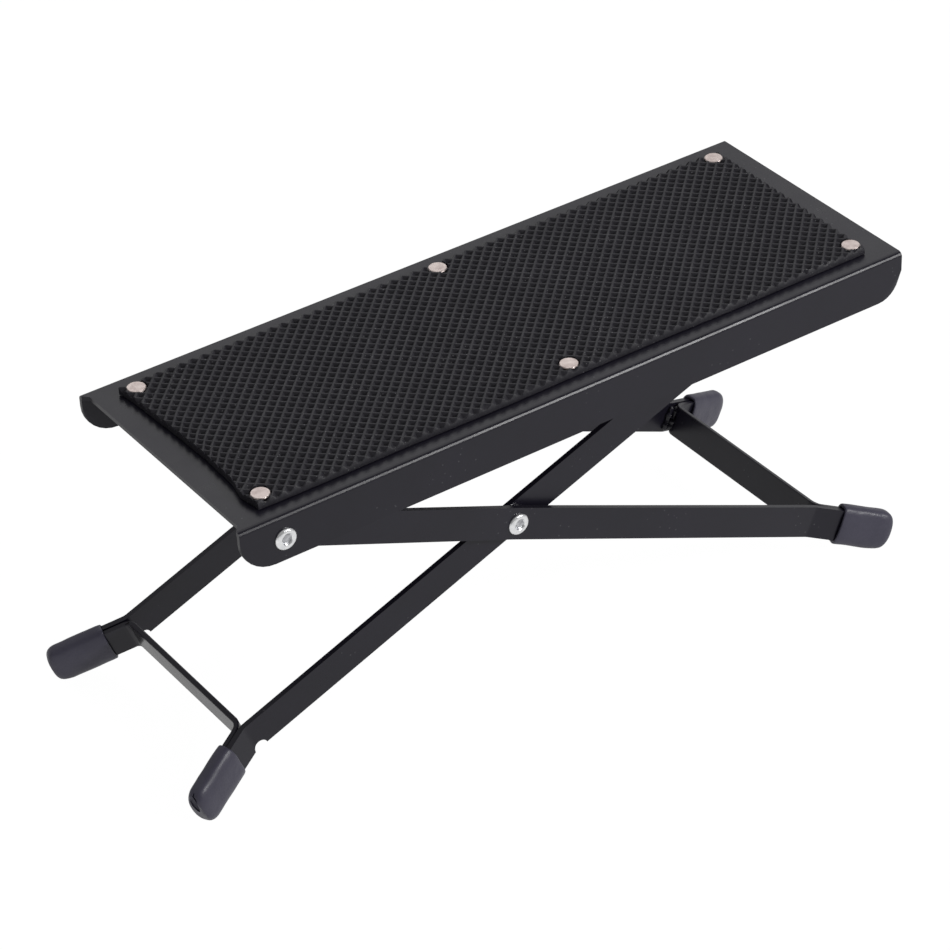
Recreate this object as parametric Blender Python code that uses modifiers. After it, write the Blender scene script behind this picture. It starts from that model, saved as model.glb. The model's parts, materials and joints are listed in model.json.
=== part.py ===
"""A folding footrest for a seated guitarist.

A sheet-steel tread with a rubber mat stands on two pairs of flat legs that cross like scissors.
The outer pair is riveted to the flanges of the tread at its low end. The inner pair carries a
catch rod that meets a notched rack under the tread. +X points to the high end of the tread,
+Y to the rear and +Z up. The four foot caps stand on z = 0.
"""

import math
from collections import namedtuple

import bmesh
import bpy
from mathutils import Matrix, Vector

# Tread: a channel of sheet steel, open at both ends
plate_length = 0.269
plate_width = 0.100
sheet = 0.0015
flange_depth = 0.0172
flange_corner_low = 0.0125
flange_corner_high = 0.0100
bend_radius = 0.0017

# At the low end the flanges stand out past the tread's edge
ear_reach = 0.0020
ear_width = 0.0040

# Pivot of the outer legs on the tread, from the low end and below the top face
pivot_inset = 0.0146
pivot_depth = 0.0090

# Mat and the rivets that hold it, placed from the edges of the tread
mat_low_margin = 0.0086
mat_high_margin = 0.0098
mat_front_margin = 0.0064
mat_rear_margin = 0.0088
mat_thickness = 0.0030
mat_corner = 0.0015
mat_rivet_inset = 0.0135
mat_rivet_margin = 0.0117
mat_rivet_columns = 3
mat_rivet_head = 0.0034
mat_rivet_head_depth = 0.0009
mat_rivet_shank = 0.0016
mat_rivet_tail = 0.0026
mat_rivet_tail_depth = 0.0008

# Legs: flat bar on edge
bar_height = 0.012
bar_thickness = 0.002
pivot_to_cross = 0.1032
outer_cross_to_bend = 0.1383
inner_cross_to_bend = 0.1155
foot_reach = 0.0245
outer_flare = math.radians(15.5)
inner_flare = math.radians(22.5)
foot_bend_radius = 0.006
bar_edge = 0.0004
bite_radius = 0.0026
bite_from_bend = 0.0019

# Space between a flange and the outer bar's face at the pivot, and how far further in each bar's
# face lies at its other places
leg_to_flange = 0.0040
outer_inset_at_cross = 0.0025
outer_inset_at_bend = 0.0009
inner_inset_at_rod = 0.0055
inner_inset_at_bend = 0.0059

# Standing pose: angle between the legs, and the rod's place below the pivot's level
cross_angle = math.radians(44.6)
rod_drop = 0.0033

# Cross straps
outer_strap_past_bend = 0.0025
inner_strap_past_bend = 0.0001
strap_thickness = 0.002
strap_height = 0.0117
strap_lean = math.radians(5.0)
strap_tab = 0.0170
strap_bend_radius = 0.0040

# Rivets at the pivot and at the crossing
rivet_shank = 0.0025
rivet_head = 0.0040
rivet_head_depth = 0.0012
rivet_recess = 0.0017
rivet_recess_depth = 0.0010
recess_floor_share = 0.6
rivet_tail = 0.0038
rivet_tail_depth = 0.0011
pivot_spacer_radius = 0.0058
cross_washer_radius = 0.0056
cross_washer_thickness = 0.0008

# Catch rod, peened over outside the inner legs
rod_radius = 0.0030
rod_tenon = 0.0024
rod_peen = 0.0034
rod_peen_depth = 0.0009

# Notched rack under the tread
rack_width = 0.022
rack_wall = 0.0015
rack_notches = 4
rack_pitch = 0.0118
rack_margin = 0.007
rod_running_gap = 0.0004
notch_clearance = 0.0003

# Foot caps: sleeves over the bar and the strap's tab
outer_cap_start = 0.0120
inner_cap_start = 0.0090
cap_length = 0.0217
cap_wall_height = 0.00145
cap_wall_side = 0.00125
cap_end_radius = 0.0056
cap_edge = 0.0018
cap_end_wall = 0.0045
ground_flat = 0.0006
cap_slit_width = 0.0008
cap_slit_depth = 0.0014

# Gap kept between pieces that touch, and how far a cutter runs past what it cuts
gap = 0.0003
overrun = 0.0020

# Counts of flats on curved surfaces
hole_flats = 24
rivet_flats = 24
small_rivet_flats = 18
arc_flats = 8
small_arc_flats = 4

FRONT = -1
REAR = 1
SIDES = (("front", FRONT), ("rear", REAR))

# Which way a leg frame's Z axis runs to the ground
Z_UP = -1
Z_DOWN = 1

# A foot: its bend from the crossing, its outer face there, its flare and where its cap starts
Foot = namedtuple("Foot", "bend face flare cap")


# Places that follow from the driving sizes
mat_rivet_pitch = (plate_length - 2.0 * mat_rivet_inset) / (mat_rivet_columns - 1)
mat_rivet_spread = plate_width / 2.0 - mat_rivet_margin
cross_to_rod = pivot_to_cross
outer_face_at_pivot = plate_width / 2.0 - sheet - leg_to_flange
outer_face_at_cross = outer_face_at_pivot - outer_inset_at_cross
outer_face_at_bend = outer_face_at_pivot - outer_inset_at_bend
inner_face_at_rod = outer_face_at_pivot - inner_inset_at_rod
inner_face_at_bend = outer_face_at_pivot - inner_inset_at_bend
cross_gap = gap + cross_washer_thickness + gap
inner_face_at_cross = outer_face_at_cross - bar_thickness - cross_gap
pivot_to_rod = 2.0 * pivot_to_cross * math.cos(cross_angle / 2.0)
rod_lag = math.asin(rod_drop / pivot_to_rod)
plate_over_outer = cross_angle / 2.0 + rod_lag
rod_depth = pivot_depth + rod_drop
highest_reach = pivot_to_rod - (rack_notches - 1) * rack_pitch
highest_rod_depth = pivot_depth + rod_drop * highest_reach / pivot_to_rod
rack_tip_depth = highest_rod_depth - rod_radius - rod_running_gap
cap_height = bar_height + 2.0 * (cap_wall_height + gap)
cap_core = bar_thickness + gap + strap_thickness
cap_thickness = cap_core + 2.0 * (cap_wall_side + gap)


def clear_scene():
    """Remove whatever the scene holds."""
    for item in list(bpy.data.objects):
        bpy.data.objects.remove(item, do_unlink=True)


def new_collection(name):
    """Make a collection in the scene."""
    made = bpy.data.collections.new(name)
    bpy.context.scene.collection.children.link(made)
    return made


clear_scene()
parts = new_collection("guitar_footrest")
cutters = new_collection("cutters")


def finish(name, colour, roughness, metallic):
    """A plain principled material."""
    made = bpy.data.materials.new(name)
    made.use_nodes = True
    shader = made.node_tree.nodes["Principled BSDF"]
    shader.inputs["Base Color"].default_value = (*colour, 1.0)
    shader.inputs["Roughness"].default_value = roughness
    shader.inputs["Metallic"].default_value = metallic
    return made


def painted_steel(name):
    """Black satin powder coat."""
    return finish(name, (0.022, 0.022, 0.024), 0.38, 0.0)


def black_rubber(name):
    """Dull black rubber."""
    return finish(name, (0.010, 0.010, 0.011), 0.72, 0.0)


def grey_vinyl(name):
    """Blue-grey soft vinyl."""
    return finish(name, (0.040, 0.043, 0.052), 0.42, 0.0)


def bright_rivet(name):
    """Nickel-plated steel with a warm tint."""
    return finish(name, (0.72, 0.66, 0.63), 0.28, 1.0)


def zinc_plate(name):
    """Zinc-plated steel."""
    return finish(name, (0.60, 0.61, 0.62), 0.33, 1.0)


def white_nylon(name):
    """Pale nylon."""
    return finish(name, (0.62, 0.61, 0.58), 0.5, 0.0)


def frame_at(name, x, z, pitch):
    """An empty on a joint's axis, tilted so that its +X falls by pitch."""
    made = bpy.data.objects.new(name, None)
    made.empty_display_size = bar_height
    made.location = (x, 0.0, z)
    made.rotation_euler = (0.0, pitch, 0.0)
    parts.objects.link(made)
    return made


def add_piece(name, mesh, parent, material):
    """Put a mesh into the model as a named piece."""
    made = bpy.data.objects.new(name, mesh)
    made.parent = parent
    parts.objects.link(made)
    mesh.materials.clear()
    mesh.materials.append(material)
    return made


def add_cutter(name, mesh, parent):
    """Put a mesh into the model as a cutter, which the build leaves out."""
    made = bpy.data.objects.new(name, mesh)
    made.parent = parent
    made.hide_render = True
    made.display_type = "WIRE"
    cutters.objects.link(made)
    return made


def cut(piece, cutter):
    """Take the cutter away from the piece."""
    step = piece.modifiers.new("cut " + cutter.name, "BOOLEAN")
    step.operation = "DIFFERENCE"
    step.solver = "EXACT"
    step.object = cutter


def soften(piece, width, steps):
    """Round the piece's edges."""
    step = piece.modifiers.new("edges", "BEVEL")
    step.width = width
    step.segments = steps
    step.limit_method = "ANGLE"
    step.angle_limit = math.radians(40.0)
    step.harden_normals = False


def shade_round(mesh, angle=30.0):
    """Shade smooth, with edges sharp past an angle in degrees."""
    mesh.shade_smooth()
    mesh.set_sharp_from_angle(angle=math.radians(angle))


def evaluated_mesh(item):
    """The mesh of an object with its modifiers done."""
    graph = bpy.context.evaluated_depsgraph_get()
    return bpy.data.meshes.new_from_object(item.evaluated_get(graph))


def prism(name, outline, half_depth, turn=Matrix.Identity(4)):
    """A closed flat outline in XY, drawn out both ways along Z, then turned."""
    curve = bpy.data.curves.new(name, "CURVE")
    curve.dimensions = "2D"
    curve.fill_mode = "BOTH"
    curve.extrude = half_depth
    spline = curve.splines.new("POLY")
    spline.points.add(len(outline) - 1)
    for point, (x, y) in zip(spline.points, outline):
        point.co = (x, y, 0.0, 1.0)
    spline.use_cyclic_u = True
    item = bpy.data.objects.new(name, curve)
    parts.objects.link(item)
    mesh = evaluated_mesh(item)
    bpy.data.objects.remove(item, do_unlink=True)
    work = bmesh.new()
    work.from_mesh(mesh)
    bmesh.ops.remove_doubles(work, verts=work.verts, dist=gap / 30.0)
    bmesh.ops.transform(work, matrix=turn, verts=work.verts)
    bmesh.ops.recalc_face_normals(work, faces=work.faces)
    work.to_mesh(mesh)
    work.free()
    mesh.name = name
    return mesh


# Turns an outline drawn in XY to stand in XZ, drawn out along Y
SIDE_VIEW = Matrix.Rotation(math.radians(90.0), 4, "X")
# Turns an outline drawn in XY to stand in YZ, drawn out along X
END_VIEW = Matrix.Rotation(math.radians(90.0), 4, "Z") @ SIDE_VIEW


def arc(centre, radius, start, end, flats):
    """Points along an arc, both ends included; angles in degrees."""
    points = []
    for i in range(flats + 1):
        angle = math.radians(start + (end - start) * i / flats)
        points.append((centre[0] + radius * math.cos(angle), centre[1] + radius * math.sin(angle)))
    return points


def rounded_rectangle(low, high, radius, flats):
    """A rectangle from corner low to corner high with rounded corners."""
    x0, y0 = low
    x1, y1 = high
    points = arc((x1 - radius, y1 - radius), radius, 0.0, 90.0, flats)
    points += arc((x0 + radius, y1 - radius), radius, 90.0, 180.0, flats)
    points += arc((x0 + radius, y0 + radius), radius, 180.0, 270.0, flats)
    points += arc((x1 - radius, y0 + radius), radius, 270.0, 360.0, flats)
    return points


def eased(path, radius, flats):
    """A path whose inner corners are replaced by arcs of the given radius."""
    points = [Vector(path[0])]
    for before, corner, after in zip(path, path[1:], path[2:]):
        corner = Vector(corner)
        back = (Vector(before) - corner).normalized()
        ahead = (Vector(after) - corner).normalized()
        half = back.angle(ahead) / 2.0
        reach = radius / math.tan(half)
        centre = corner + (back + ahead).normalized() * radius / math.sin(half)
        start = corner + back * reach - centre
        turn = math.pi - 2.0 * half
        if back.x * ahead.y - back.y * ahead.x > 0.0:
            turn = -turn
        for i in range(flats + 1):
            swing = Matrix.Rotation(turn * i / flats, 2)
            points.append(centre + swing @ start)
    points.append(Vector(path[-1]))
    return points


def strip(path, thickness):
    """The outline of a strip of the given thickness that follows a path."""
    left = []
    right = []
    for i, point in enumerate(path):
        before = path[max(i - 1, 0)]
        after = path[min(i + 1, len(path) - 1)]
        first = (point - before).normalized() if i else (after - point).normalized()
        second = (after - point).normalized() if i < len(path) - 1 else first
        normal = Vector((-first.y - second.y, first.x + second.x)).normalized()
        stretch = normal.dot(Vector((-first.y, first.x)))
        offset = normal * thickness / 2.0 / stretch
        left.append(tuple(point + offset))
        right.append(tuple(point - offset))
    return left + right[::-1]


def turned(name, profile, flats):
    """A turned piece; the profile gives radius and height from top to bottom."""
    mesh = bpy.data.meshes.new(name)
    mesh.from_pydata([(r, 0.0, z) for r, z in profile], [(i, i + 1) for i in range(len(profile) - 1)], [])
    item = bpy.data.objects.new(name, mesh)
    parts.objects.link(item)
    step = item.modifiers.new("turn", "SCREW")
    step.steps = flats
    step.render_steps = flats
    step.use_merge_vertices = True
    step.merge_threshold = gap / 30.0
    step.use_smooth_shade = True
    done = evaluated_mesh(item)
    bpy.data.objects.remove(item, do_unlink=True)
    bpy.data.meshes.remove(mesh)
    done.name = name
    return done


def turned_ring(name, outer, inner, low, high, flats):
    """A plain ring around Z."""
    profile = [(inner, high), (outer, high), (outer, low), (inner, low), (inner, high)]
    return turned(name, profile, flats)


def along_y(x, y, z, side):
    """Places a turned piece so that its top points outward along Y."""
    return Matrix.Translation((x, y, z)) @ Matrix.Rotation(math.radians(-90.0 * side), 4, "X")


def drill(piece, x, y, z, radius, half_length):
    """Drill a hole along Y through a piece, in the piece's own frame."""
    name = piece.name + "_hole"
    profile = [(0.0, half_length), (radius, half_length), (radius, -half_length), (0.0, -half_length)]
    cutter = add_cutter(name, turned(name, profile, hole_flats), piece.parent)
    cutter.matrix_local = piece.matrix_local @ along_y(x, y, z, FRONT)
    cut(piece, cutter)


def round_end(mesh, x, radius, flats):
    """Round the two corners of a bar's end that lies at x."""
    work = bmesh.new()
    work.from_mesh(mesh)
    edges = []
    for edge in work.edges:
        first, second = (v.co for v in edge.verts)
        across = abs(first.z - second.z) < gap
        at_end = abs(first.x - x) < gap and abs(second.x - x) < gap
        if across and at_end:
            edges.append(edge)
    bmesh.ops.bevel(work, geom=edges, offset=radius, segments=flats, profile=0.5, affect="EDGES")
    work.to_mesh(mesh)
    work.free()


def section_of_plate():
    """The channel's section: Y across, Z below the top face."""
    half = plate_width / 2.0
    inner_radius = bend_radius - sheet
    outer = arc((half - bend_radius, -bend_radius), bend_radius, 0.0, 90.0, small_arc_flats)
    outer += arc((bend_radius - half, -bend_radius), bend_radius, 90.0, 180.0, small_arc_flats)
    inner = arc((bend_radius - half, -bend_radius), inner_radius, 180.0, 90.0, small_arc_flats)
    inner += arc((half - bend_radius, -bend_radius), inner_radius, 90.0, 0.0, small_arc_flats)
    left_foot = [(-half, -flange_depth), (sheet - half, -flange_depth)]
    right_foot = [(half - sheet, -flange_depth), (half, -flange_depth)]
    return outer + left_foot + inner + right_foot


def mat_rivet_places():
    """Number, place along the plate and place across it of each mat rivet."""
    places = []
    for column in range(mat_rivet_columns):
        for side in (FRONT, REAR):
            x = mat_rivet_inset + column * mat_rivet_pitch - pivot_inset
            places.append((len(places) + 1, x, side * mat_rivet_spread))
    return places


def round_flange_ends(mesh, at_low_end, radius):
    """Round the lower corners of both flanges at one end of the channel."""
    work = bmesh.new()
    work.from_mesh(mesh)
    low = pivot_depth - flange_depth
    corners = []
    for edge in work.edges:
        first, second = (v.co for v in edge.verts)
        at_bottom = abs(first.z - low) < gap and abs(second.z - low) < gap
        at_end = abs(first.x - second.x) < gap and (first.x < 0.0) == at_low_end
        if at_bottom and at_end:
            corners.append(edge)
    bmesh.ops.bevel(work, geom=corners, offset=radius, segments=arc_flats, profile=0.5, affect="EDGES")
    work.to_mesh(mesh)
    work.free()


def set_back_low_edge(plate):
    """Cut the tread's low edge back between the flanges, whose ends stand out past it."""
    inner = plate_width / 2.0 - bend_radius
    shoulder = plate_width / 2.0 - ear_width
    edge = -pivot_inset
    outer = edge - ear_reach
    outline = [(outer - overrun, -inner), (outer, -inner), (edge, -shoulder)]
    outline += [(edge, shoulder), (outer, inner), (outer - overrun, inner)]
    mesh = prism("top_plate_low_edge", outline, sheet + overrun)
    cutter = add_cutter("top_plate_low_edge", mesh, plate.parent)
    cutter.location = (0.0, 0.0, pivot_depth)
    cut(plate, cutter)


def make_top_plate(frame):
    """Sheet-steel channel with rounded flange corners and its rivet holes."""
    half_length = (plate_length + ear_reach) / 2.0
    mesh = prism("top_plate", section_of_plate(), half_length, END_VIEW)
    middle = half_length - ear_reach - pivot_inset
    mesh.transform(Matrix.Translation((middle, 0.0, pivot_depth)))
    round_flange_ends(mesh, True, flange_corner_low)
    round_flange_ends(mesh, False, flange_corner_high)
    plate = add_piece("top_plate", mesh, frame, painted_steel("black powder coat"))
    set_back_low_edge(plate)
    drill(plate, 0.0, 0.0, 0.0, rivet_shank + gap, plate_width / 2.0 + overrun)
    for number, x, y in mat_rivet_places():
        name = f"top_plate_mat_hole_{number}"
        radius = mat_rivet_shank + gap
        profile = [(0.0, overrun), (radius, overrun), (radius, -overrun), (0.0, -overrun)]
        cutter = add_cutter(name, turned(name, profile, small_rivet_flats), frame)
        cutter.location = (x, y, pivot_depth - sheet / 2.0)
        cut(plate, cutter)
    shade_round(mesh)
    return plate


def make_grip_mat(frame):
    """Rubber mat with a pocket and a hole for each rivet."""
    low = (mat_low_margin - pivot_inset, mat_front_margin - plate_width / 2.0)
    high = (plate_length - mat_high_margin - pivot_inset, plate_width / 2.0 - mat_rear_margin)
    outline = rounded_rectangle(low, high, mat_corner, small_arc_flats)
    half = (mat_thickness - gap) / 2.0
    mesh = prism("grip_mat", outline, half)
    mesh.transform(Matrix.Translation((0.0, 0.0, pivot_depth + gap + half)))
    mat = add_piece("grip_mat", mesh, frame, black_rubber("mat rubber"))
    top = pivot_depth + mat_thickness
    seat = mat_rivet_head_depth + 2.0 * gap
    for number, x, y in mat_rivet_places():
        name = f"grip_mat_pocket_{number}"
        wide = mat_rivet_head + gap
        narrow = mat_rivet_shank + gap
        profile = [(0.0, overrun), (wide, overrun), (wide, -seat), (narrow, -seat)]
        profile += [(narrow, -mat_thickness - overrun), (0.0, -mat_thickness - overrun)]
        cutter = add_cutter(name, turned(name, profile, small_rivet_flats), frame)
        cutter.location = (x, y, top)
        cut(mat, cutter)
    return mat


def make_mat_rivets(frame):
    """Flat-headed rivets, set over under the sheet."""
    top = mat_thickness - gap
    seat = top - mat_rivet_head_depth
    tail = -sheet - gap
    rim = mat_rivet_head_depth / 3.0
    profile = [
        (0.0, top),
        (mat_rivet_head - rim, top),
        (mat_rivet_head, top - rim),
        (mat_rivet_head, seat),
        (mat_rivet_shank, seat),
        (mat_rivet_shank, tail),
        (mat_rivet_tail, tail),
        (mat_rivet_tail, tail - mat_rivet_tail_depth),
        (0.0, tail - mat_rivet_tail_depth),
    ]
    for number, x, y in mat_rivet_places():
        name = f"mat_rivet_{number}"
        mesh = turned(name, profile, small_rivet_flats)
        shade_round(mesh)
        rivet = add_piece(name, mesh, frame, bright_rivet("mat rivet metal"))
        rivet.location = (x, y, pivot_depth)


def make_notch_rack(frame):
    """Pressed channel under the tread whose walls have a notch for each height."""
    half = rack_width / 2.0
    top = -sheet - gap
    web = top - rack_wall
    tip = -rack_tip_depth
    outline = [(-half, top), (-half, tip), (rack_wall - half, tip), (rack_wall - half, web)]
    outline += [(half - rack_wall, web), (half - rack_wall, tip), (half, tip), (half, top)]
    length = (rack_notches - 1) * rack_pitch + 2.0 * rack_margin
    mesh = prism("notch_rack", outline, length / 2.0, END_VIEW)
    middle = pivot_to_rod - (rack_notches - 1) * rack_pitch / 2.0
    mesh.transform(Matrix.Translation((middle, 0.0, pivot_depth)))
    rack = add_piece("notch_rack", mesh, frame, painted_steel("rack powder coat"))
    for notch in range(rack_notches):
        x = pivot_to_rod - notch * rack_pitch
        drill(rack, x, 0.0, pivot_depth + tip, rod_radius + notch_clearance, half + overrun)
    shade_round(mesh)
    return rack


def leg_path(places, flare):
    """Path of a bar's middle seen from above, with its flared foot."""
    end = Vector(places[-1])
    foot = end + Vector((math.cos(flare), math.sin(flare))) * foot_reach
    corner = Vector(places[-2]), end, foot
    bend = eased(corner, foot_bend_radius, small_arc_flats)
    return [Vector(place) for place in places[:-2]] + bend


def make_leg(name, side, places, flare, drillings, frame):
    """A flat bar on edge, rounded at its upper end, flared at its foot and drilled.

    Each drilling gives its place along the bar, its place across it and its radius.
    """
    path = leg_path(places, flare)
    outline = [(x, side * y) for x, y in strip(path, bar_thickness)]
    mesh = prism(name, outline, bar_height / 2.0)
    round_end(mesh, places[0][0], bar_height / 2.0 - bar_edge, arc_flats)
    leg = add_piece(name, mesh, frame, painted_steel(name + " powder coat"))
    for x, z, radius in drillings:
        drill(leg, x, 0.0, z, radius, plate_width)
    soften(leg, bar_edge, 2)
    shade_round(mesh)
    return leg


def outer_places():
    """Places along and across of the outer bar's middle, from the pivot end to the foot bend."""
    half = bar_thickness / 2.0
    end = -pivot_to_cross - bar_height / 2.0
    return [
        (end, outer_face_at_pivot - half),
        (-pivot_to_cross + bar_height / 2.0, outer_face_at_pivot - half),
        (0.0, outer_face_at_cross - half),
        (outer_cross_to_bend, outer_face_at_bend - half),
    ]


def inner_places():
    """The same for the inner bar, from the rod end to the foot bend."""
    half = bar_thickness / 2.0
    end = -cross_to_rod - bar_height / 2.0
    return [
        (end, inner_face_at_rod - half),
        (-cross_to_rod + bar_height / 2.0, inner_face_at_rod - half),
        (0.0, inner_face_at_cross - half),
        (inner_cross_to_bend, inner_face_at_bend - half),
    ]


def make_outer_legs(frame):
    """The pair riveted to the tread."""
    hole = rivet_shank + gap
    drillings = [(-pivot_to_cross, 0.0, hole), (0.0, 0.0, hole)]
    for label, side in SIDES:
        make_leg("outer_leg_" + label, side, outer_places(), outer_flare, drillings, frame)


def make_inner_legs(frame):
    """The pair that carries the catch rod, with a bite in the lower edge at each foot bend.

    Their frame stands with its Z axis downward.
    """
    bite = (inner_cross_to_bend - bite_from_bend, bar_height / 2.0, bite_radius)
    drillings = [(-cross_to_rod, 0.0, rod_tenon + gap), (0.0, 0.0, rivet_shank + gap), bite]
    for label, side in SIDES:
        make_leg("inner_leg_" + label, side, inner_places(), inner_flare, drillings, frame)


def make_strap(name, foot, past_bend, down, frame):
    """A strip across two legs, its ends folded along the flared feet.

    Its web leans, lower edge outward, and the lean dies out over the folds.
    """
    along = Vector((math.cos(foot.flare), math.sin(foot.flare)))
    across = Vector((-math.sin(foot.flare), math.cos(foot.flare)))
    inside = Vector((foot.bend, foot.face - bar_thickness / 2.0))
    tab_line = inside - across * (bar_thickness / 2.0 + gap + strap_thickness / 2.0)
    web_x = foot.bend + past_bend
    corner = tab_line + along * ((web_x - tab_line.x) / along.x)
    tab_end = tab_line + along * strap_tab
    half_path = eased([(web_x, 0.0), corner, tab_end], strap_bend_radius, small_arc_flats)
    mirrored = [Vector((point.x, -point.y)) for point in half_path[:0:-1]]
    mesh = prism(name, strip(mirrored + half_path[1:], strap_thickness), strap_height / 2.0)
    fold_start = half_path[1].y - strap_thickness
    fold_end = half_path[-2].y
    for vertex in mesh.vertices:
        done = (abs(vertex.co.y) - fold_start) / (fold_end - fold_start)
        lean = strap_lean * (1.0 - min(max(done, 0.0), 1.0))
        vertex.co.x += down * vertex.co.z * math.tan(lean)
    strap = add_piece(name, mesh, frame, painted_steel(name + " powder coat"))
    soften(strap, bar_edge, 2)
    shade_round(mesh)
    return strap


def cap_outline(start):
    """Side view of a foot cap, from its mouth to its rounded end."""
    half = cap_height / 2.0
    end = start + cap_length
    mouth = [(start, half), (start, -half)]
    lower = arc((end - cap_end_radius, cap_end_radius - half), cap_end_radius, 270.0, 360.0, arc_flats)
    upper = arc((end - cap_end_radius, half - cap_end_radius), cap_end_radius, 0.0, 90.0, arc_flats)
    return mouth + lower + upper


def soften_cap(mesh, start):
    """Round the cap's long edges and its end, but not its mouth."""
    work = bmesh.new()
    work.from_mesh(mesh)
    edges = []
    for edge in work.edges:
        past_mouth = max(v.co.x for v in edge.verts) > start + gap
        if past_mouth and edge.calc_face_angle() > math.radians(40.0):
            edges.append(edge)
    bmesh.ops.bevel(work, geom=edges, offset=cap_edge, segments=3, profile=0.5, affect="EDGES")
    work.to_mesh(mesh)
    work.free()


def pocket_outline(start):
    """Side view of the space inside a cap, open at the mouth."""
    half = bar_height / 2.0 + gap
    mouth = start - overrun
    end = start + cap_length - cap_end_wall
    return [(mouth, -half), (end, -half), (end, half), (mouth, half)]


def slit_outline(start, down):
    """Side view of the slit along the upper quarter of a cap's rounded end."""
    centre_x = start + cap_length - cap_end_radius
    centre_z = down * (cap_end_radius - cap_height / 2.0)
    turn = -90.0 * down
    outer = arc((centre_x, centre_z), cap_end_radius + overrun, 0.0, turn, arc_flats)
    inner = arc((centre_x, centre_z), cap_end_radius - cap_slit_depth, turn, 0.0, arc_flats)
    return outer + inner


def cap_cutter(cap, name, outline, half_width):
    """Cut a straight-sided space out of a cap."""
    cutter = add_cutter(cap.name + name, prism(name, outline, half_width, SIDE_VIEW), cap.parent)
    cutter.matrix_local = cap.matrix_local
    cut(cap, cutter)


def make_cap(name, side, foot, down, frame, ground):
    """A vinyl sleeve pushed over a flared foot, slit at its end and worn flat underneath.

    The sign says which way the frame's Z axis runs to the ground.
    """
    mesh = prism(name, cap_outline(foot.cap), cap_thickness / 2.0, SIDE_VIEW)
    soften_cap(mesh, foot.cap)
    cap = add_piece(name, mesh, frame, grey_vinyl("cap vinyl"))
    turn = Matrix.Rotation(side * foot.flare, 4, "Z")
    seat = Matrix.Translation((foot.bend, side * (foot.face - bar_thickness / 2.0), 0.0))
    inward = Matrix.Translation((0.0, -side * (gap + strap_thickness) / 2.0, 0.0))
    cap.matrix_local = seat @ turn @ inward
    cap_cutter(cap, "_pocket", pocket_outline(foot.cap), cap_core / 2.0 + gap)
    cap_cutter(cap, "_slit", slit_outline(foot.cap, down), cap_slit_width / 2.0)
    cut(cap, ground)
    shade_round(mesh, 40.0)
    return cap


def make_ground():
    """A slab under z = 0 that flattens the caps where they stand."""
    low = (-plate_length, -plate_width)
    outline = rounded_rectangle(low, (plate_length, plate_width), gap, 1)
    mesh = prism("ground", outline, bar_height / 2.0)
    mesh.transform(Matrix.Translation((0.0, 0.0, -bar_height / 2.0)))
    return add_cutter("ground", mesh, None)


def rivet_profile(outer, inner):
    """A tubular rivet with its rolled head at height outer and its tail at height inner."""
    crown = outer + gap + rivet_head_depth
    tail = inner - gap
    rim = rivet_head_depth / 3.0
    return [
        (0.0, crown - rivet_recess_depth),
        (rivet_recess * recess_floor_share, crown - rivet_recess_depth),
        (rivet_recess, crown - rim / 2.0),
        (rivet_recess + rim, crown),
        (rivet_head - rim * 2.0, crown - rim / 2.0),
        (rivet_head, crown - rim * 2.0),
        (rivet_head, outer + gap),
        (rivet_shank, outer + gap),
        (rivet_shank, tail),
        (rivet_tail, tail),
        (rivet_tail, tail - rivet_tail_depth / 2.0),
        (rivet_tail - rim, tail - rivet_tail_depth),
        (0.0, tail - rivet_tail_depth),
    ]


def make_pivot_fittings(frame):
    """The rivets that join the outer legs to the flanges, and the spacers on them."""
    flange_face = plate_width / 2.0
    leg_face = outer_face_at_pivot
    for label, side in SIDES:
        profile = rivet_profile(flange_face, leg_face - bar_thickness)
        mesh = turned("pivot_rivet_" + label, profile, rivet_flats)
        shade_round(mesh)
        rivet = add_piece("pivot_rivet_" + label, mesh, frame, zinc_plate("pivot rivet metal"))
        rivet.matrix_local = along_y(0.0, 0.0, 0.0, side)
        low = leg_face + gap
        high = flange_face - sheet - gap
        ring = turned_ring("pivot_spacer_" + label, pivot_spacer_radius, rivet_shank + gap, low, high, rivet_flats)
        shade_round(ring)
        spacer = add_piece("pivot_spacer_" + label, ring, frame, white_nylon("spacer nylon"))
        spacer.matrix_local = along_y(0.0, 0.0, 0.0, side)


def make_cross_fittings(frame):
    """The rivets at the crossing of the legs, and the washers between the bars."""
    outer = outer_face_at_cross
    inner = inner_face_at_cross
    for label, side in SIDES:
        mesh = turned("cross_rivet_" + label, rivet_profile(outer, inner - bar_thickness), rivet_flats)
        shade_round(mesh)
        rivet = add_piece("cross_rivet_" + label, mesh, frame, zinc_plate("cross rivet metal"))
        rivet.matrix_local = along_y(0.0, 0.0, 0.0, side)
        low = inner + gap
        high = low + cross_washer_thickness
        ring = turned_ring("cross_washer_" + label, cross_washer_radius, rivet_shank + gap, low, high, rivet_flats)
        shade_round(ring)
        washer = add_piece("cross_washer_" + label, ring, frame, zinc_plate("washer metal"))
        washer.matrix_local = along_y(0.0, 0.0, 0.0, side)


def make_catch_rod(frame):
    """The rod across the upper ends of the inner legs."""
    shoulder = inner_face_at_rod - bar_thickness - gap
    face = inner_face_at_rod + gap
    crown = face + rod_peen_depth
    soft = rod_peen_depth / 2.0
    upper = [
        (0.0, crown),
        (rod_peen - soft, crown),
        (rod_peen, crown - soft),
        (rod_peen, face),
        (rod_tenon, face),
        (rod_tenon, shoulder),
        (rod_radius, shoulder),
    ]
    lower = [(radius, -height) for radius, height in reversed(upper)]
    mesh = turned("catch_rod", upper + lower, rivet_flats)
    shade_round(mesh)
    rod = add_piece("catch_rod", mesh, frame, zinc_plate("rod metal"))
    rod.matrix_local = along_y(-cross_to_rod, 0.0, 0.0, FRONT)
    return rod


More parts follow.
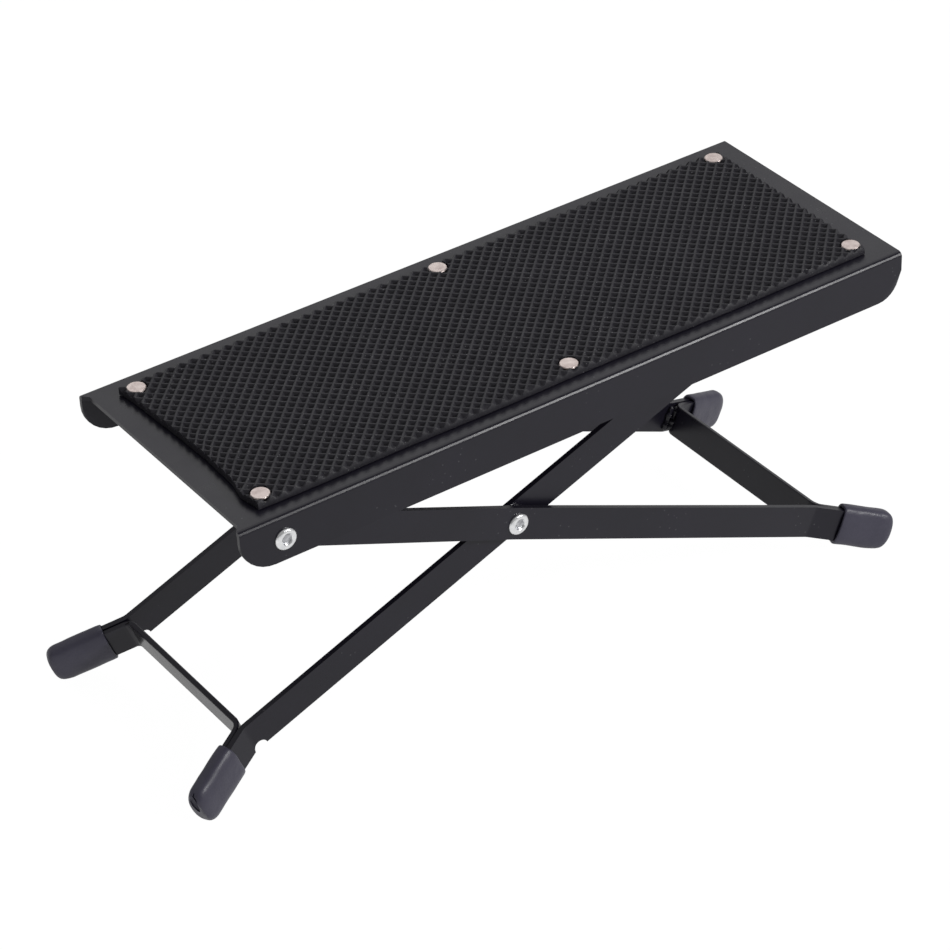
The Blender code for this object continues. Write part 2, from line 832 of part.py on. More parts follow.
def foot_fall(foot, pitch):
    """How far a foot's lowest point lies below the crossing, for a bar that falls by pitch."""
    reach = foot.bend + (foot.cap + cap_length - cap_end_radius) * math.cos(foot.flare)
    below = cap_height / 2.0 - cap_end_radius
    squeezed = cap_end_radius * math.cos(foot.flare) * math.sin(pitch)
    rounding = math.hypot(squeezed, cap_end_radius * math.cos(pitch))
    return reach * math.sin(pitch) + below * math.cos(pitch) + rounding


def standing_pitch(outer, inner):
    """The outer legs' fall at which both pairs of feet stand on the same level."""
    low = 0.0
    high = cross_angle
    for _ in range(60):
        middle = (low + high) / 2.0
        if foot_fall(outer, middle) > foot_fall(inner, cross_angle - middle):
            high = middle
        else:
            low = middle
    return middle


def centre_along_x(frames):
    """Move the frames so that the pieces' overall length is centred on the origin."""
    bpy.context.view_layer.update()
    graph = bpy.context.evaluated_depsgraph_get()
    reach = []
    for piece in parts.objects:
        if piece.type == "MESH":
            done = piece.evaluated_get(graph)
            reach += [(done.matrix_world @ vertex.co).x for vertex in done.data.vertices]
    for frame in frames:
        frame.location.x -= (min(reach) + max(reach)) / 2.0


def build():
    """Stand the frames up and hang every piece on its own frame."""
    outer = Foot(outer_cross_to_bend, outer_face_at_bend, outer_flare, outer_cap_start)
    inner = Foot(inner_cross_to_bend, inner_face_at_bend, inner_flare, inner_cap_start)
    outer_pitch = standing_pitch(outer, inner)
    inner_pitch = cross_angle - outer_pitch
    cross_z = foot_fall(outer, outer_pitch) - ground_flat
    plate_pitch = outer_pitch - plate_over_outer
    pivot_x = -pivot_to_cross * math.cos(outer_pitch)
    pivot_z = cross_z + pivot_to_cross * math.sin(outer_pitch)

    outer_frame = frame_at("outer_frame", 0.0, cross_z, outer_pitch)
    inner_frame = frame_at("inner_frame", 0.0, cross_z, math.pi - inner_pitch)
    plate_frame = frame_at("plate_frame", pivot_x, pivot_z, plate_pitch)
    ground = make_ground()

    make_top_plate(plate_frame)
    make_grip_mat(plate_frame)
    make_mat_rivets(plate_frame)
    make_notch_rack(plate_frame)
    make_pivot_fittings(plate_frame)

    make_outer_legs(outer_frame)
    make_cross_fittings(outer_frame)
    make_strap("outer_cross_strap", outer, outer_strap_past_bend, Z_UP, outer_frame)

    make_inner_legs(inner_frame)
    make_catch_rod(inner_frame)
    make_strap("inner_cross_strap", inner, inner_strap_past_bend, Z_DOWN, inner_frame)

    for label, side in SIDES:
        make_cap("high_foot_cap_" + label, side, outer, Z_UP, outer_frame, ground)
        make_cap("low_foot_cap_" + label, side, inner, Z_DOWN, inner_frame, ground)

    centre_along_x((outer_frame, inner_frame, plate_frame))


build()
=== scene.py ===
# %% [markdown]
# # A folding footrest for a guitarist
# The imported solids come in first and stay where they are. The cells below give each one its real
# finish, and add what plain solids leave out: the waffle of pits in the rubber mat, the rolled
# rivets, the weld beads and the soft vinyl caps. All sizes are in metres.

# %% Load the solids
import json
import math
import random

import bmesh
import bpy
from mathutils import Matrix, Vector, noise


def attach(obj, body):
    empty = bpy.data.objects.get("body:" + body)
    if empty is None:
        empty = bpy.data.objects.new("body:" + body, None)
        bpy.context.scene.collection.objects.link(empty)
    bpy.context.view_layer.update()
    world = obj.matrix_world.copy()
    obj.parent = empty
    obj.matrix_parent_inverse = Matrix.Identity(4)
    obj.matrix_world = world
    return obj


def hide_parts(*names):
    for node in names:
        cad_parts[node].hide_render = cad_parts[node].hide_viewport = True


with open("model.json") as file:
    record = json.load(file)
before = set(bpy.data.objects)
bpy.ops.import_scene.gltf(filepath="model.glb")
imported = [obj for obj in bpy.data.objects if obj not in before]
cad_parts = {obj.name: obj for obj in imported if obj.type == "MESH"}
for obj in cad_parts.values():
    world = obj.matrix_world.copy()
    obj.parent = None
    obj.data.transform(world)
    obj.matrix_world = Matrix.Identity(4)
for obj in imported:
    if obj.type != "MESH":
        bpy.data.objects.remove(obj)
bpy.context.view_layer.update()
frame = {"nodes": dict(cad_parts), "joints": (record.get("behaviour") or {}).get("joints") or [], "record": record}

# %% [markdown]
# ## Where the tread and the legs lie
# The footrest is a pair of crossed legs with a tread on top, so nothing on it is square to the
# floor. Each group of pieces is easiest to build in its own flat coordinates. The joints and the
# tread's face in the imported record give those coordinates, so no angle is measured twice.

# %% Coordinates of the tread and of the legs
joint_places = {joint["name"]: Vector(joint["pos_m"]) for joint in frame["joints"]}
mounts = {mount["name"]: mount for mount in frame["record"]["mounts"]}
pivot = joint_places["plate_fold"]
crossing = joint_places["leg_cross"]
# From the tread's low edge in to the pivot, and from its top face down to it
pivot_inset = 0.0146
pivot_depth = 0.0090
# From the outer legs' direction round to the inner legs', in degrees
turn_between_legs = 135.4


def coordinates(origin, along, up):
    """A matrix whose X runs along, Z runs up and Y runs across to the rear."""
    sideways = up.cross(along)
    columns = Matrix((along, sideways, up)).transposed().to_4x4()
    return Matrix.Translation(origin) @ columns


tread_up = Vector(mounts["tread_top"]["axis"]).normalized()
tread_along = Vector((tread_up.z, 0.0, -tread_up.x))
tread_corner = pivot - tread_along * pivot_inset + tread_up * pivot_depth
tread = coordinates(tread_corner, tread_along, tread_up)

outer_along = (crossing - pivot).normalized()
outer_fall = math.asin(-outer_along.z)
inner_turn = outer_fall + math.radians(turn_between_legs)
print("tread rises", round(math.degrees(math.asin(tread_along.z)), 2), "degrees")
print("outer legs fall", round(math.degrees(outer_fall), 2), "degrees")

# %% [markdown]
# ## The camera
# The photograph was taken with a long lens from in front of the low end. The lens and the place
# were solved from the corners of the tread and its rivets, for a square picture 950 pixels wide.

# %% Camera
camera_data = bpy.data.cameras.new("camera")
camera = bpy.data.objects.new("camera", camera_data)
bpy.context.scene.collection.objects.link(camera)
camera.location = (-0.60968, -0.85367, 0.74343)
camera.rotation_euler = [math.radians(v) for v in (56.7477, -0.5443, -35.0705)]
camera_data.sensor_width = 36.0
camera_data.lens = 137.1145
camera_data.clip_start = 0.01
bpy.context.scene.camera = camera
print("camera is", round(camera.location.length, 3), "m from the middle of the floor")

# %% [markdown]
# ## Floor and light
# The studio is a white sweep with broad soft light from above and behind. The floor shows white to
# the camera, and a small share of its own shading is left so that the feet keep a faint shadow.
# Reflections see it greyer, as they do a sweep that ends beside the table. The surround is
# brightest behind the footrest and darkest behind the camera, which leaves the black steel black.


# %% Tools for node trees
def feed(tree, socket, value):
    """Give a socket a plain number, or link another node's output to it."""
    if isinstance(value, (int, float)):
        socket.default_value = value
    else:
        tree.links.new(value, socket)


def number(tree, operation, first, second):
    """Arithmetic on two numbers or outputs."""
    node = tree.nodes.new("ShaderNodeMath")
    node.operation = operation
    feed(tree, node.inputs[0], first)
    feed(tree, node.inputs[1], second)
    return node.outputs[0]


def spread(tree, value, low, high, to_low, to_high):
    """A value stretched from one range to another and held inside it."""
    node = tree.nodes.new("ShaderNodeMapRange")
    for socket, item in zip(node.inputs, (value, low, high, to_low, to_high)):
        feed(tree, socket, item)
    return node.outputs[0]


def mixed_number(tree, share, first, second):
    """One number where the share is 0 and another where it is 1."""
    node = tree.nodes.new("ShaderNodeMix")
    node.data_type = "FLOAT"
    for index, value in ((0, share), (2, first), (3, second)):
        feed(tree, node.inputs[index], value)
    return node.outputs[0]


# %% Floor
floor_size = 6.0
floor_paint = (0.80, 0.80, 0.80, 1.0)
shadow_share = 0.05
floor_to_camera = 1.04
floor_in_reflections = 0.80


def white_floor_finish():
    """White to the camera, greyer to reflections, with a faint share of real shading."""
    material = bpy.data.materials.new("floor white")
    material.use_nodes = True
    tree = material.node_tree
    tree.nodes.clear()
    path = tree.nodes.new("ShaderNodeLightPath")
    to_camera = path.outputs["Is Camera Ray"]
    paint = tree.nodes.new("ShaderNodeBsdfDiffuse")
    paint.inputs["Color"].default_value = floor_paint
    glow = tree.nodes.new("ShaderNodeEmission")
    level = mixed_number(tree, to_camera, floor_in_reflections, floor_to_camera)
    tree.links.new(level, glow.inputs["Strength"])
    seen = number(tree, "MAXIMUM", to_camera, path.outputs["Is Glossy Ray"])
    seen = number(tree, "MAXIMUM", seen, path.outputs["Is Transmission Ray"])
    share = number(tree, "MULTIPLY", seen, 1.0 - shadow_share)
    mix = tree.nodes.new("ShaderNodeMixShader")
    for socket, source in zip(mix.inputs, (share, paint.outputs[0], glow.outputs[0])):
        tree.links.new(source, socket)
    out = tree.nodes.new("ShaderNodeOutputMaterial")
    tree.links.new(mix.outputs[0], out.inputs["Surface"])
    return material


floor_mesh = bpy.data.meshes.new("floor")
half = floor_size / 2.0
floor_mesh.from_pydata(
    [(-half, -half, 0.0), (half, -half, 0.0), (half, half, 0.0), (-half, half, 0.0)], [], [(0, 1, 2, 3)]
)
floor = bpy.data.objects.new("floor", floor_mesh)
bpy.context.scene.collection.objects.link(floor)
floor_mesh.materials.append(white_floor_finish())
print("floor is", floor_size, "m square")

# %% World and lamps
sky_behind_camera = 0.28
sky_behind_footrest = 0.44
# Towards the surround's bright side, and where along that way it starts and stops to brighten
bright_side = (0.45, 0.85, 0.25)
brighter_from, brightest_from = -0.6, 0.8
lamp_target = (0.0, 0.0, 0.08)


def studio_sky():
    """A plain white surround: full white to the camera, and softer as light."""
    world = bpy.data.worlds.new("studio")
    bpy.context.scene.world = world
    world.use_nodes = True
    tree = world.node_tree
    background = tree.nodes["Background"]
    background.inputs["Color"].default_value = (1.0, 1.0, 1.0, 1.0)
    path = tree.nodes.new("ShaderNodeLightPath")
    direction = tree.nodes.new("ShaderNodeTexCoord").outputs["Generated"]
    facing = tree.nodes.new("ShaderNodeVectorMath")
    facing.operation = "DOT_PRODUCT"
    facing.inputs[1].default_value = bright_side
    tree.links.new(direction, facing.inputs[0])
    towards = facing.outputs["Value"]
    light = spread(tree, towards, brighter_from, brightest_from, sky_behind_camera, sky_behind_footrest)
    level = mixed_number(tree, path.outputs["Is Camera Ray"], light, 1.0)
    tree.links.new(level, background.inputs["Strength"])


def soft_lamp(name, place, size, watts):
    """A square soft box that looks at the footrest."""
    data = bpy.data.lights.new(name, "AREA")
    data.shape = "SQUARE"
    data.size = size
    data.energy = watts
    lamp = bpy.data.objects.new(name, data)
    bpy.context.scene.collection.objects.link(lamp)
    lamp.location = place
    lamp.rotation_euler = (Vector(lamp_target) - Vector(place)).to_track_quat("-Z", "Y").to_euler()


studio_sky()
soft_lamp("box above and behind", (0.7, 1.0, 1.5), size=1.4, watts=5.5)
soft_lamp("strip at the front right", (0.85, -1.30, 0.95), size=0.30, watts=15.0)
bpy.context.scene.view_settings.view_transform = "Standard"
print("lamps:", len(bpy.data.lights))

# %% [markdown]
# ## Effects shared by the finishes
# Powder coat, vinyl and rubber all have a fine skin that breaks up a reflection, and both the coat
# and the mat catch dust. Each effect is a node group, built once and placed in each finish with its
# own values. A group puts out heights, masks and shades only, and the shader stays in the material.


# %% Tools for node groups
def new_group(name, inputs, output):
    """An empty node group with named number inputs and one number output."""
    group = bpy.data.node_groups.new(name, "ShaderNodeTree")
    for label, value in inputs:
        socket = group.interface.new_socket(label, in_out="INPUT", socket_type="NodeSocketFloat")
        socket.default_value = value
    group.interface.new_socket(output, in_out="OUTPUT", socket_type="NodeSocketFloat")
    return group, group.nodes.new("NodeGroupInput"), group.nodes.new("NodeGroupOutput")


def cloud(tree, place, scale, detail, roughness=0.5):
    """Soft noise at a place."""
    node = tree.nodes.new("ShaderNodeTexNoise")
    node.inputs["Detail"].default_value = detail
    node.inputs["Roughness"].default_value = roughness
    tree.links.new(place, node.inputs["Vector"])
    feed(tree, node.inputs["Scale"], scale)
    return node.outputs["Fac"]


def own_place(tree):
    """A point's place on the piece itself, so that a pattern moves with the piece."""
    return tree.nodes.new("ShaderNodeTexCoord").outputs["Object"]


# %% Skin, dust and blotches
# A speck's solid middle and its faded rim, as shares of a cell, and the scale of the dusty patches
speck_core, speck_rim = 0.06, 0.16
patch_scale = 55.0
# The part of the noise that a blotch stretches from its low value to its high one
blotch_from, blotch_to = 0.3, 0.7


def make_skin_group():
    """Fine dimples over broader waves, as a height."""
    inputs = [("Grain", 4000.0), ("Wave", 300.0), ("Wave share", 0.5)]
    group, given, out = new_group("skin", inputs, "Height")
    place = own_place(group)
    fine = cloud(group, place, given.outputs["Grain"], detail=2.0)
    broad = cloud(group, place, given.outputs["Wave"], detail=2.0)
    waves = number(group, "MULTIPLY", broad, given.outputs["Wave share"])
    group.links.new(number(group, "ADD", fine, waves), out.inputs["Height"])
    return group


def make_dust_group():
    """Scattered pale specks, as a mask."""
    group, given, out = new_group("dust", [("Scale", 900.0), ("Cover", 0.5)], "Mask")
    place = own_place(group)
    cells = group.nodes.new("ShaderNodeTexVoronoi")
    group.links.new(place, cells.inputs["Vector"])
    group.links.new(given.outputs["Scale"], cells.inputs["Scale"])
    dots = spread(group, cells.outputs["Distance"], speck_core, speck_rim, 1.0, 0.0)
    drift = cloud(group, place, patch_scale, detail=3.0)
    limit = number(group, "SUBTRACT", 1.0, given.outputs["Cover"])
    patch = number(group, "GREATER_THAN", drift, limit)
    group.links.new(number(group, "MULTIPLY", dots, patch), out.inputs["Mask"])
    return group


def make_blotch_group():
    """Slow change over a surface, from low to high."""
    inputs = [("Scale", 40.0), ("Low", 0.0), ("High", 1.0)]
    group, given, out = new_group("blotches", inputs, "Value")
    broad = cloud(group, own_place(group), given.outputs["Scale"], detail=4.0, roughness=0.6)
    value = spread(group, broad, blotch_from, blotch_to, given.outputs["Low"], given.outputs["High"])
    group.links.new(value, out.inputs["Value"])
    return group


skin_group = make_skin_group()
dust_group = make_dust_group()
blotch_group = make_blotch_group()
print("node groups:", [group.name for group in bpy.data.node_groups])

# %% [markdown]
# ## The finishes
# The steel is black powder coat: satin, faintly blue, with an orange-peel skin. The mat is dull
# black rubber with dust in it. The caps are dipped vinyl, bluer and softer. The mat's rivets are
# nickel plate with a rosy tarnish, and the pivots' rivets are bright zinc, with a darker zinc in
# their holes as painted shade. One flat colour each would look like plastic, so colour and gloss
# drift a little over every finish.


# %% Tools for finishes
def new_finish(name, **values):
    """A material whose shader has the given plain values."""
    material = bpy.data.materials.new(name)
    material.use_nodes = True
    shader = material.node_tree.nodes["Principled BSDF"]
    for socket, value in values.items():
        shader.inputs[socket.replace("_", " ")].default_value = value
    return material, material.node_tree, shader


def place_group(tree, group, values):
    """One of the shared effects, set for this finish; gives its output."""
    node = tree.nodes.new("ShaderNodeGroup")
    node.node_tree = group
    for socket, value in values.items():
        node.inputs[socket].default_value = value
    return node.outputs[0]


def mixed_colour(tree, share, first, second):
    """One colour where the share is 0 and another where it is 1."""
    node = tree.nodes.new("ShaderNodeMix")
    node.data_type = "RGBA"
    tree.links.new(share, node.inputs[0])
    for socket, colour in ((node.inputs[6], first), (node.inputs[7], second)):
        if isinstance(colour, tuple):
            socket.default_value = (*colour, 1.0)
        else:
            tree.links.new(colour, socket)
    return node.outputs[2]


def drifting_shade(tree, scale, first, second):
    """A colour that drifts between two shades over the surface."""
    return mixed_colour(tree, place_group(tree, blotch_group, {"Scale": scale}), first, second)


def dusted(tree, shade, scale, cover, strength, dust_colour):
    """A shade with specks of dust on it."""
    specks = place_group(tree, dust_group, {"Scale": scale, "Cover": cover})
    faint = number(tree, "MULTIPLY", specks, strength)
    return mixed_colour(tree, faint, shade, dust_colour)


def dress(tree, shader, shade, rough, skin, depth):
    """Give a shader its colour, a drifting roughness and a skin; depth is in metres."""
    bump = tree.nodes.new("ShaderNodeBump")
    bump.inputs["Strength"].default_value = 1.0
    bump.inputs["Distance"].default_value = depth
    tree.links.new(place_group(tree, skin_group, skin), bump.inputs["Height"])
    tree.links.new(bump.outputs["Normal"], shader.inputs["Normal"])
    tree.links.new(shade, shader.inputs["Base Color"])
    tree.links.new(place_group(tree, blotch_group, rough), shader.inputs["Roughness"])


# %% Powder coat
def powder_coat():
    """Satin black powder coat on steel."""
    material, tree, shader = new_finish("black powder coat", IOR=1.38)
    black = (0.0086, 0.0076, 0.0138)
    paler = tuple(channel * 1.35 for channel in black)
    shade = drifting_shade(tree, 28.0, black, paler)
    shade = dusted(tree, shade, scale=420.0, cover=0.42, strength=0.25, dust_colour=(0.20, 0.20, 0.21))
    rough = {"Scale": 60.0, "Low": 0.27, "High": 0.33}
    skin = {"Grain": 3200.0, "Wave": 420.0, "Wave share": 0.8}
    dress(tree, shader, shade, rough, skin, depth=0.000012)
    return material


# %% Mat rubber
def mat_rubber():
    """Dull black rubber with fine dust."""
    material, tree, shader = new_finish("mat rubber", IOR=1.42)
    shade = drifting_shade(tree, 70.0, (0.0125, 0.0115, 0.0165), (0.0185, 0.0170, 0.0235))
    shade = dusted(tree, shade, scale=700.0, cover=0.47, strength=0.55, dust_colour=(0.30, 0.30, 0.31))
    rough = {"Scale": 130.0, "Low": 0.46, "High": 0.60}
    skin = {"Grain": 2600.0, "Wave": 700.0, "Wave share": 1.0}
    dress(tree, shader, shade, rough, skin, depth=0.00005)
    return material


# %% Cap vinyl
def cap_vinyl():
    """Dipped blue-grey vinyl, soft and faintly lumpy."""
    material, tree, shader = new_finish("cap vinyl", IOR=1.45)
    shade = drifting_shade(tree, 90.0, (0.0480, 0.0450, 0.0700), (0.0610, 0.0575, 0.0860))
    rough = {"Scale": 160.0, "Low": 0.34, "High": 0.46}
    skin = {"Grain": 1800.0, "Wave": 300.0, "Wave share": 3.0}
    dress(tree, shader, shade, rough, skin, depth=0.00005)
    return material


# %% Metals and nylon
def plated_metal(name, bright, dull, low, high, grain):
    """Plated steel whose colour and gloss wander between two values."""
    material, tree, shader = new_finish(name, Metallic=1.0)
    shade = drifting_shade(tree, grain, bright, dull)
    rough = {"Scale": grain * 2.0, "Low": low, "High": high}
    skin = {"Grain": 5200.0, "Wave": 900.0, "Wave share": 1.0}
    dress(tree, shader, shade, rough, skin, depth=0.00004)
    return material


def pale_nylon():
    """Natural nylon, a little waxy."""
    material, tree, shader = new_finish("pale nylon", IOR=1.53, Subsurface_Weight=0.1)
    shade = drifting_shade(tree, 200.0, (0.60, 0.59, 0.55), (0.68, 0.67, 0.63))
    rough = {"Scale": 300.0, "Low": 0.42, "High": 0.55}
    skin = {"Grain": 3000.0, "Wave": 500.0, "Wave share": 1.0}
    dress(tree, shader, shade, rough, skin, depth=0.00002)
    return material


steel = powder_coat()
rubber = mat_rubber()
vinyl = cap_vinyl()
nickel = plated_metal("mat rivet nickel", (0.66, 0.58, 0.55), (0.50, 0.42, 0.40), 0.28, 0.44, 260.0)
zinc = plated_metal("pivot rivet zinc", (1.00, 1.00, 1.00), (0.80, 0.81, 0.83), 0.18, 0.34, 420.0)
# Darker, duller zinc for the inside of a rolled rivet's hole: painted shade in its hollow
hole_shade_zinc = plated_metal("rivet hole zinc painted shade", (0.66, 0.67, 0.69), (0.30, 0.30, 0.32), 0.30, 0.46, 700.0)
nylon = pale_nylon()
print("finishes:", len(bpy.data.materials))

# %% Give every solid its finish
finish_of_slot = {
    "powder_coat": steel,
    "mat_rubber": rubber,
    "cap_vinyl": vinyl,
    "rivet_metal": nickel,
    "zinc_plate": zinc,
    "spacer_nylon": nylon,
}
for part in frame["record"]["subparts"]:
    node = frame["nodes"][part["node"]]
    node.data.materials.clear()
    node.data.materials.append(finish_of_slot[part["material_slot"]])

# %% [markdown]
# ## The rubber mat
# The real mat is cut from moulded sheet: a waffle of square pits with thin ridges between them,
# turned half a right angle to the tread. A bump map would look right from above but leave a
# straight edge and no shade in the pits, so each pit is real. The mat is one tiled surface, one
# tile for each pit, trimmed to the mat's outline and drawn down to its underside.

# %% The mat's sizes
mat_top = 0.0030
mat_under = 0.0003
mat_low_end, mat_high_end = 0.0095, 0.2588
mat_front, mat_rear = -0.0433, 0.0410
waffle_front = -0.0426
# The first pit's middle, and the way from a pit to the next on each slant
pit_start = Vector((0.00106, -0.00033))
pit_step_down = Vector((0.002269, -0.002217))
pit_step_up = Vector((0.002207, 0.002200))
# Each ring of a pit: its share of the tile, and how far it lies below the crest
pit_rings = ((1.0, 0.0), (0.84, 0.00003), (0.74, 0.00017), (0.22, 0.00125))
# The depth of a pit varies between these shares of the above
least_sink, most_sink = 0.9, 1.08
# The tiles that are tried each way, and how far they may lie past the mat before it is trimmed
tile_numbers = range(-30, 90)
tile_margin = 0.003
waffle_seed = 11
same_corner = 2e-6
cut_tolerance = 1e-7


def add_pit(mesh, centre, sink):
    """One tile: four strips of ridge, the shoulders, the walls and the floor of its pit."""
    rings = []
    for share, depth in pit_rings:
        ring = []
        for across_step, up_step in ((-1, -1), (1, -1), (1, 1), (-1, 1)):
            corner = centre + (pit_step_down * across_step + pit_step_up * up_step) * share / 2.0
            ring.append(mesh.verts.new((corner.x, corner.y, mat_top - depth * sink)))
        rings.append(ring)
    for ring, inner in zip(rings, rings[1:]):
        for i in range(4):
            j = (i + 1) % 4
            mesh.faces.new((ring[i], ring[j], inner[j], inner[i]))
    mesh.faces.new(rings[-1])


def trim(mesh, place, outward):
    """Cut the mesh along an upright plane and drop what lies outside."""
    bmesh.ops.bisect_plane(
        mesh,
        geom=mesh.verts[:] + mesh.edges[:] + mesh.faces[:],
        dist=cut_tolerance,
        plane_co=place,
        plane_no=outward,
        clear_outer=True,
    )


def tiled_waffle():
    """The waffle's upper surface over the whole mat."""
    mesh = bmesh.new()
    picker = random.Random(waffle_seed)
    for i in tile_numbers:
        for j in tile_numbers:
            centre = pit_start + pit_step_down * i + pit_step_up * j
            inside = mat_low_end - tile_margin < centre.x < mat_high_end + tile_margin
            if inside and waffle_front - tile_margin < centre.y < mat_rear + tile_margin:
                add_pit(mesh, centre, picker.uniform(least_sink, most_sink))
    bmesh.ops.remove_doubles(mesh, verts=mesh.verts, dist=same_corner)
    trim(mesh, (mat_low_end, 0.0, 0.0), (-1.0, 0.0, 0.0))
    trim(mesh, (mat_high_end, 0.0, 0.0), (1.0, 0.0, 0.0))
    trim(mesh, (0.0, waffle_front, 0.0), (0.0, -1.0, 0.0))
    trim(mesh, (0.0, mat_rear, 0.0), (0.0, 1.0, 0.0))
    return mesh


waffle = tiled_waffle()
print("waffle faces:", len(waffle.faces))

# %% [markdown]
# The trimmed sheet has one long open edge. Along the front the real mat has a low plain lip, and
# its other sides are plain cuts. Drawing the open edge outward and down in steps makes both, and
# the last step closes the underside.

# %% Lip, sides and underside
# How far out from the waffle the lip's first two steps go; the third goes to the mat's front
first_out, second_out = 0.00018, 0.00048
first_height, second_height, third_height = 0.00270, 0.00190, 0.00095
# Along the other sides each step goes down by a hair, which rounds the cut
side_drop = Vector((0.0, 0.0, 0.00005))
touch = 1e-6


def open_edges(mesh):
    """The edges with a face on one side only."""
    return [edge for edge in mesh.edges if edge.is_boundary]


def draw_edge(mesh, shape):
    """Draw the open edge on by one step; shape gives each new corner's place."""
    made = bmesh.ops.extrude_edge_only(mesh, edges=open_edges(mesh))
    for item in made["geom"]:
        if isinstance(item, bmesh.types.BMVert):
            item.co = shape(item.co)


def lip_start(co):
    """Down to the lip along the front."""
    if co.y < waffle_front + touch:
        return Vector((co.x, waffle_front - first_out, min(co.z, first_height)))
    return co - side_drop


def lip_edge(co):
    """Out over the lip along the front."""
    if co.y < waffle_front - first_out / 2.0:
        return Vector((co.x, waffle_front - second_out, second_height))
    return co - side_drop


def lip_round(co):
    """Over the lip's rounded edge."""
    if co.y < waffle_front - second_out / 2.0:
        return Vector((co.x, mat_front, third_height))
    return co - side_drop


def to_underside(co):
    """Straight down to the mat's underside."""
    return Vector((co.x, co.y, mat_under))


for shape in (lip_start, lip_edge, lip_round, to_underside):
    draw_edge(waffle, shape)
lowest = [vert for vert in waffle.verts if vert.co.z < mat_under + touch]
bmesh.ops.remove_doubles(waffle, verts=lowest, dist=touch)
bmesh.ops.holes_fill(waffle, edges=open_edges(waffle), sides=0)
bmesh.ops.recalc_face_normals(waffle, faces=waffle.faces)
print("open edges left:", len(open_edges(waffle)))

# %% [markdown]
# The real mat was cut by hand, so its sides wander, most of all at the low end. Its corners are
# moved once the sheet is closed, and the move fades out inwards so that the pits stay square.

# %% Cut by hand
# The low end's cut, as places across the tread and along it
low_cut = (
    (-0.0433, 0.0097), (-0.0410, 0.0097), (-0.0353, 0.0086), (-0.0247, 0.0105), (-0.0056, 0.0110),
    (0.0130, 0.0105), (0.0180, 0.0101), (0.0250, 0.0098), (0.0330, 0.0096), (0.0377, 0.0090),
    (0.0420, 0.0082),
)
# How far in from each side its wander fades out
low_fade, high_fade, side_fade = 0.006, 0.030, 0.005
# The high end's cut runs askew by this much, about a place this share of the way to the rear
high_skew = 0.0010
skew_centre_share = 0.75


def wander(value, seed, length, reach):
    """A smooth wobble along a line."""
    return noise.noise(Vector((value / length, seed, 0.5))) * reach


def along_cut(points, y):
    """The cut's place at a point across the tread."""
    for (y1, x1), (y2, x2) in zip(points, points[1:]):
        if y <= y2:
            share = max(0.0, (y - y1) / (y2 - y1))
            share = share * share * (3.0 - 2.0 * share)
            return x1 + (x2 - x1) * share
    return points[-1][1]


def fade(distance, reach):
    """1 at a side of the mat and 0 from its reach inwards."""
    return max(0.0, 1.0 - distance / reach)


def hand_cut(co):
    """Move the mat's sides as an uneven cut does, fading out towards the middle."""
    moved = co.copy()
    low_wander = wander(co.y, seed=8.7, length=0.0026, reach=0.00020)
    low_move = along_cut(low_cut, co.y) - mat_low_end + low_wander
    moved.x += fade(co.x - mat_low_end, low_fade) * low_move
    slope = (co.y - mat_front) / (mat_rear - mat_front)
    high_wander = wander(co.y, seed=5.3, length=0.010, reach=0.00020)
    high_move = high_skew * (slope - skew_centre_share) + high_wander
    moved.x += fade(mat_high_end - co.x, high_fade) * high_move
    long_wave = wander(co.x, seed=1.7, length=0.035, reach=0.00045)
    short_wave = wander(co.x, seed=6.1, length=0.004, reach=0.00008)
    moved.y += fade(co.y - mat_front, side_fade) * (long_wave + short_wave)
    rear_wave = wander(co.x, seed=2.9, length=0.030, reach=0.00020)
    moved.y += fade(mat_rear - co.y, side_fade) * rear_wave
    return moved


largest_move = 0.0
for vert in waffle.verts:
    moved = hand_cut(vert.co)
    largest_move = max(largest_move, (moved - vert.co).length)
    vert.co = moved

# %% [markdown]
# Each rivet sits in a dimple of the mat. The dimples are cut with a boolean from six short plugs
# whose rims are a little uneven, as rubber round a punched hole is.

# %% Places of the rivets
plate_length = 0.269
plate_half_width = 0.050
mat_rivet_inset = 0.0135
mat_rivet_margin = 0.0117
rivet_step = (plate_length - 2.0 * mat_rivet_inset) / 2.0
rivet_rows = (mat_rivet_margin - plate_half_width, plate_half_width - mat_rivet_margin)
rivet_spots = [(mat_rivet_inset + i * rivet_step, y) for i in range(3) for y in rivet_rows]
print("rivets in the mat:", len(rivet_spots))

# %% Dimples for the rivets
dimple_floor = 0.0013
dimple_radius = 0.00375
plug_top = mat_top + 0.002
plug_flats = 40
rim_wobble_share = 0.03
rim_pace = 400.0


def add_plug(mesh, x, y):
    """A short upright plug with an uneven rim."""
    rims = []
    for z in (dimple_floor, plug_top):
        rim = []
        for i in range(plug_flats):
            angle = 2.0 * math.pi * i / plug_flats
            spot = Vector((x * rim_pace + math.cos(angle), y * rim_pace, math.sin(angle)))
            reach = dimple_radius * (1.0 + rim_wobble_share * noise.noise(spot))
            rim.append(mesh.verts.new((x + reach * math.cos(angle), y + reach * math.sin(angle), z)))
        rims.append(rim)
    for i in range(plug_flats):
        j = (i + 1) % plug_flats
        mesh.faces.new((rims[0][i], rims[0][j], rims[1][j], rims[1][i]))
    mesh.faces.new(rims[0][::-1])
    mesh.faces.new(rims[1])


def new_object(name, mesh, place, material):
    """An object from a finished bmesh, which place takes to the footrest's own frame."""
    data = bpy.data.meshes.new(name)
    mesh.transform(place)
    mesh.to_mesh(data)
    mesh.free()
    made = bpy.data.objects.new(name, data)
    bpy.context.scene.collection.objects.link(made)
    data.materials.append(material)
    return made


def cut_away(item, cutter):
    """Cut one object with another, and remove the cutter."""
    step = item.modifiers.new("cut", "BOOLEAN")
    step.operation = "DIFFERENCE"
    step.solver = "EXACT"
    step.object = cutter
    graph = bpy.context.evaluated_depsgraph_get()
    done = bpy.data.meshes.new_from_object(item.evaluated_get(graph))
    item.modifiers.clear()
    item.data = done
    bpy.data.objects.remove(cutter)


